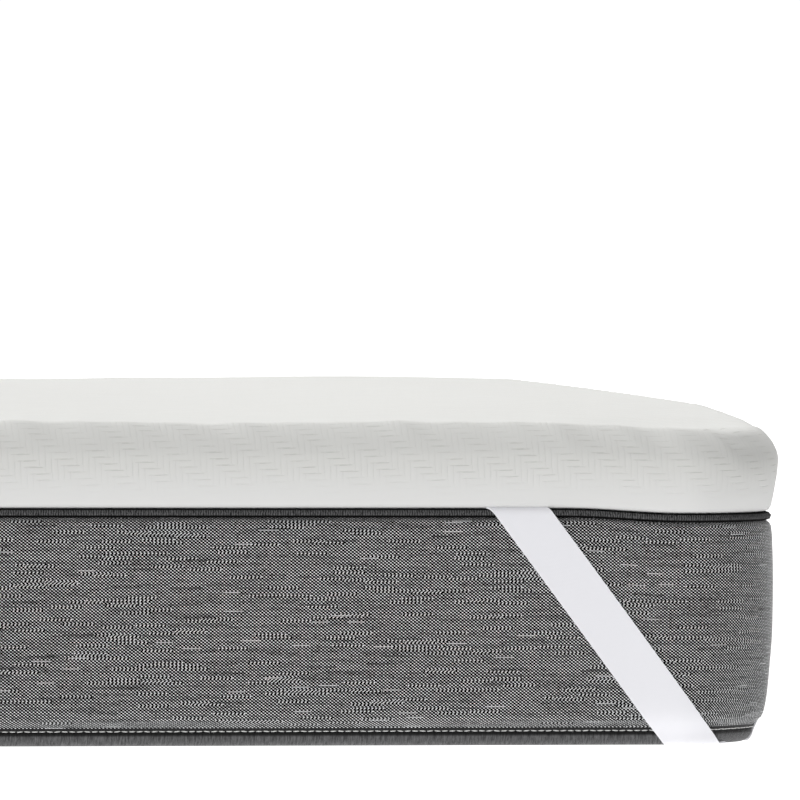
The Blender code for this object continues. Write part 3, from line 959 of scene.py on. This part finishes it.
def strap(corner, look):
    """One elastic strap, as a strip along its middle surface that is then given its thickness."""
    side_x, side_y = CORNERS[corner]
    piece, column, row = grid_piece(f"elastic_{corner}", STRAP_STEPS + 1, STRAP_STATIONS + 1)
    across = np.linspace(-1, 1, STRAP_STEPS + 1)
    from_corner = np.array(
        [[strap_point(station, share) for share in across] for station in range(STRAP_STATIONS + 1)]
    )
    points = np.stack(
        (
            side_x * (WIDTH / 2 - from_corner[..., 0]),
            side_y * (LENGTH / 2 - from_corner[..., 1]),
            from_corner[..., 2],
        ),
        -1,
    )
    place_points(piece, points[row, column])
    middle = points[:, STRAP_STEPS // 2]
    steps = np.linalg.norm(np.diff(middle, axis=0), axis=1)
    along = np.concatenate(([0], np.cumsum(steps)))
    corners = corner_points(piece)
    places = np.stack((along[row], across[column] * STRAP_WIDTH / 2), -1)
    map_points(piece, places[corners])
    solid = piece.modifiers.new("Thickness", "SOLIDIFY")
    solid.thickness = STRAP_THICKNESS
    solid.offset = 0
    bpy.ops.object.modifier_apply(modifier=solid.name)
    bpy.ops.object.shade_smooth_by_angle(angle=radians(STRAP_SHARP_ANGLE))
    finish_piece(piece, look, f"strap_{corner}")


# ---------------------------------------------------------------- The studio


def camera():
    """The camera, far off and with a long lens, as the photograph's was."""
    yaw, pitch, roll = radians(CAMERA_YAW), radians(CAMERA_PITCH), radians(CAMERA_ROLL)
    ahead = Vector((sin(yaw) * cos(pitch), cos(yaw) * cos(pitch), -sin(pitch)))
    level_right = Vector((cos(yaw), -sin(yaw), 0))
    level_up = level_right.cross(ahead)
    right = cos(roll) * level_right + sin(roll) * level_up
    up = cos(roll) * level_up - sin(roll) * level_right
    bpy.ops.object.camera_add()
    made = bpy.context.object
    made.name = "camera"
    turn = Matrix((right, up, -ahead)).transposed().to_4x4()
    made.matrix_world = Matrix.Translation(CAMERA_PLACE) @ turn
    made.data.sensor_width = SENSOR_WIDTH
    made.data.lens = FOCAL_PIXELS * SENSOR_WIDTH / PICTURE_SIDE
    made.data.clip_end = CAMERA_REACH
    bpy.context.scene.camera = made


def studio():
    """A pale floor that glows up to white, a white backdrop, and broad lights."""
    bpy.ops.object.select_all(action="DESELECT")
    bpy.ops.mesh.primitive_plane_add(size=FLOOR_SIZE, location=(0, 0, -FLOOR_DROP))
    floor = bpy.context.object
    floor.name = "floor"
    look = Look("Pale floor")
    look.feed("Base Color", FLOOR_GREY)
    look.feed("Emission Color", WHITE)
    look.feed("Emission Strength", FLOOR_GLOW)
    floor.data.materials.append(look.finish(roughness=1.0, specular=0.0))

    world = bpy.data.worlds.new("studio")
    bpy.context.scene.world = world
    world.use_nodes = True
    nodes, links = world.node_tree.nodes, world.node_tree.links
    background = nodes["Background"]
    background.inputs["Color"].default_value = WHITE
    paths = nodes.new("ShaderNodeLightPath")
    strength = nodes.new("ShaderNodeMapRange")
    strength.inputs["To Min"].default_value = SURROUND_STRENGTH
    strength.inputs["To Max"].default_value = BACKDROP_STRENGTH
    links.new(paths.outputs["Is Camera Ray"], strength.inputs["Value"])
    links.new(strength.outputs["Result"], background.inputs["Strength"])

    for light in LIGHTS:
        sun(light)
    view = bpy.context.scene.view_settings
    view.view_transform = "Standard"
    view.look = "None"


def sun(light):
    bpy.ops.object.light_add(type="SUN")
    made = bpy.context.object
    made.name = light.name
    made.data.energy = light.strength
    made.data.angle = radians(light.spread)
    made.rotation_euler = Vector(light.towards).to_track_quat("Z", "Y").to_euler()


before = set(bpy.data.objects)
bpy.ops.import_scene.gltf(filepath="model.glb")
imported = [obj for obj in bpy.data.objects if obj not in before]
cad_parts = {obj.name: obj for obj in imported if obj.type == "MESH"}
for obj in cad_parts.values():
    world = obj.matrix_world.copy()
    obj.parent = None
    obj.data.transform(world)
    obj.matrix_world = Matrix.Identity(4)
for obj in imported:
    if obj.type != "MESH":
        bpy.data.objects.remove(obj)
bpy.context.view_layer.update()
camera()
studio()
topper()
mattress()
seam_stitches()
elastic = white_elastic()
for corner_name in CORNERS:
    strap(corner_name, elastic)
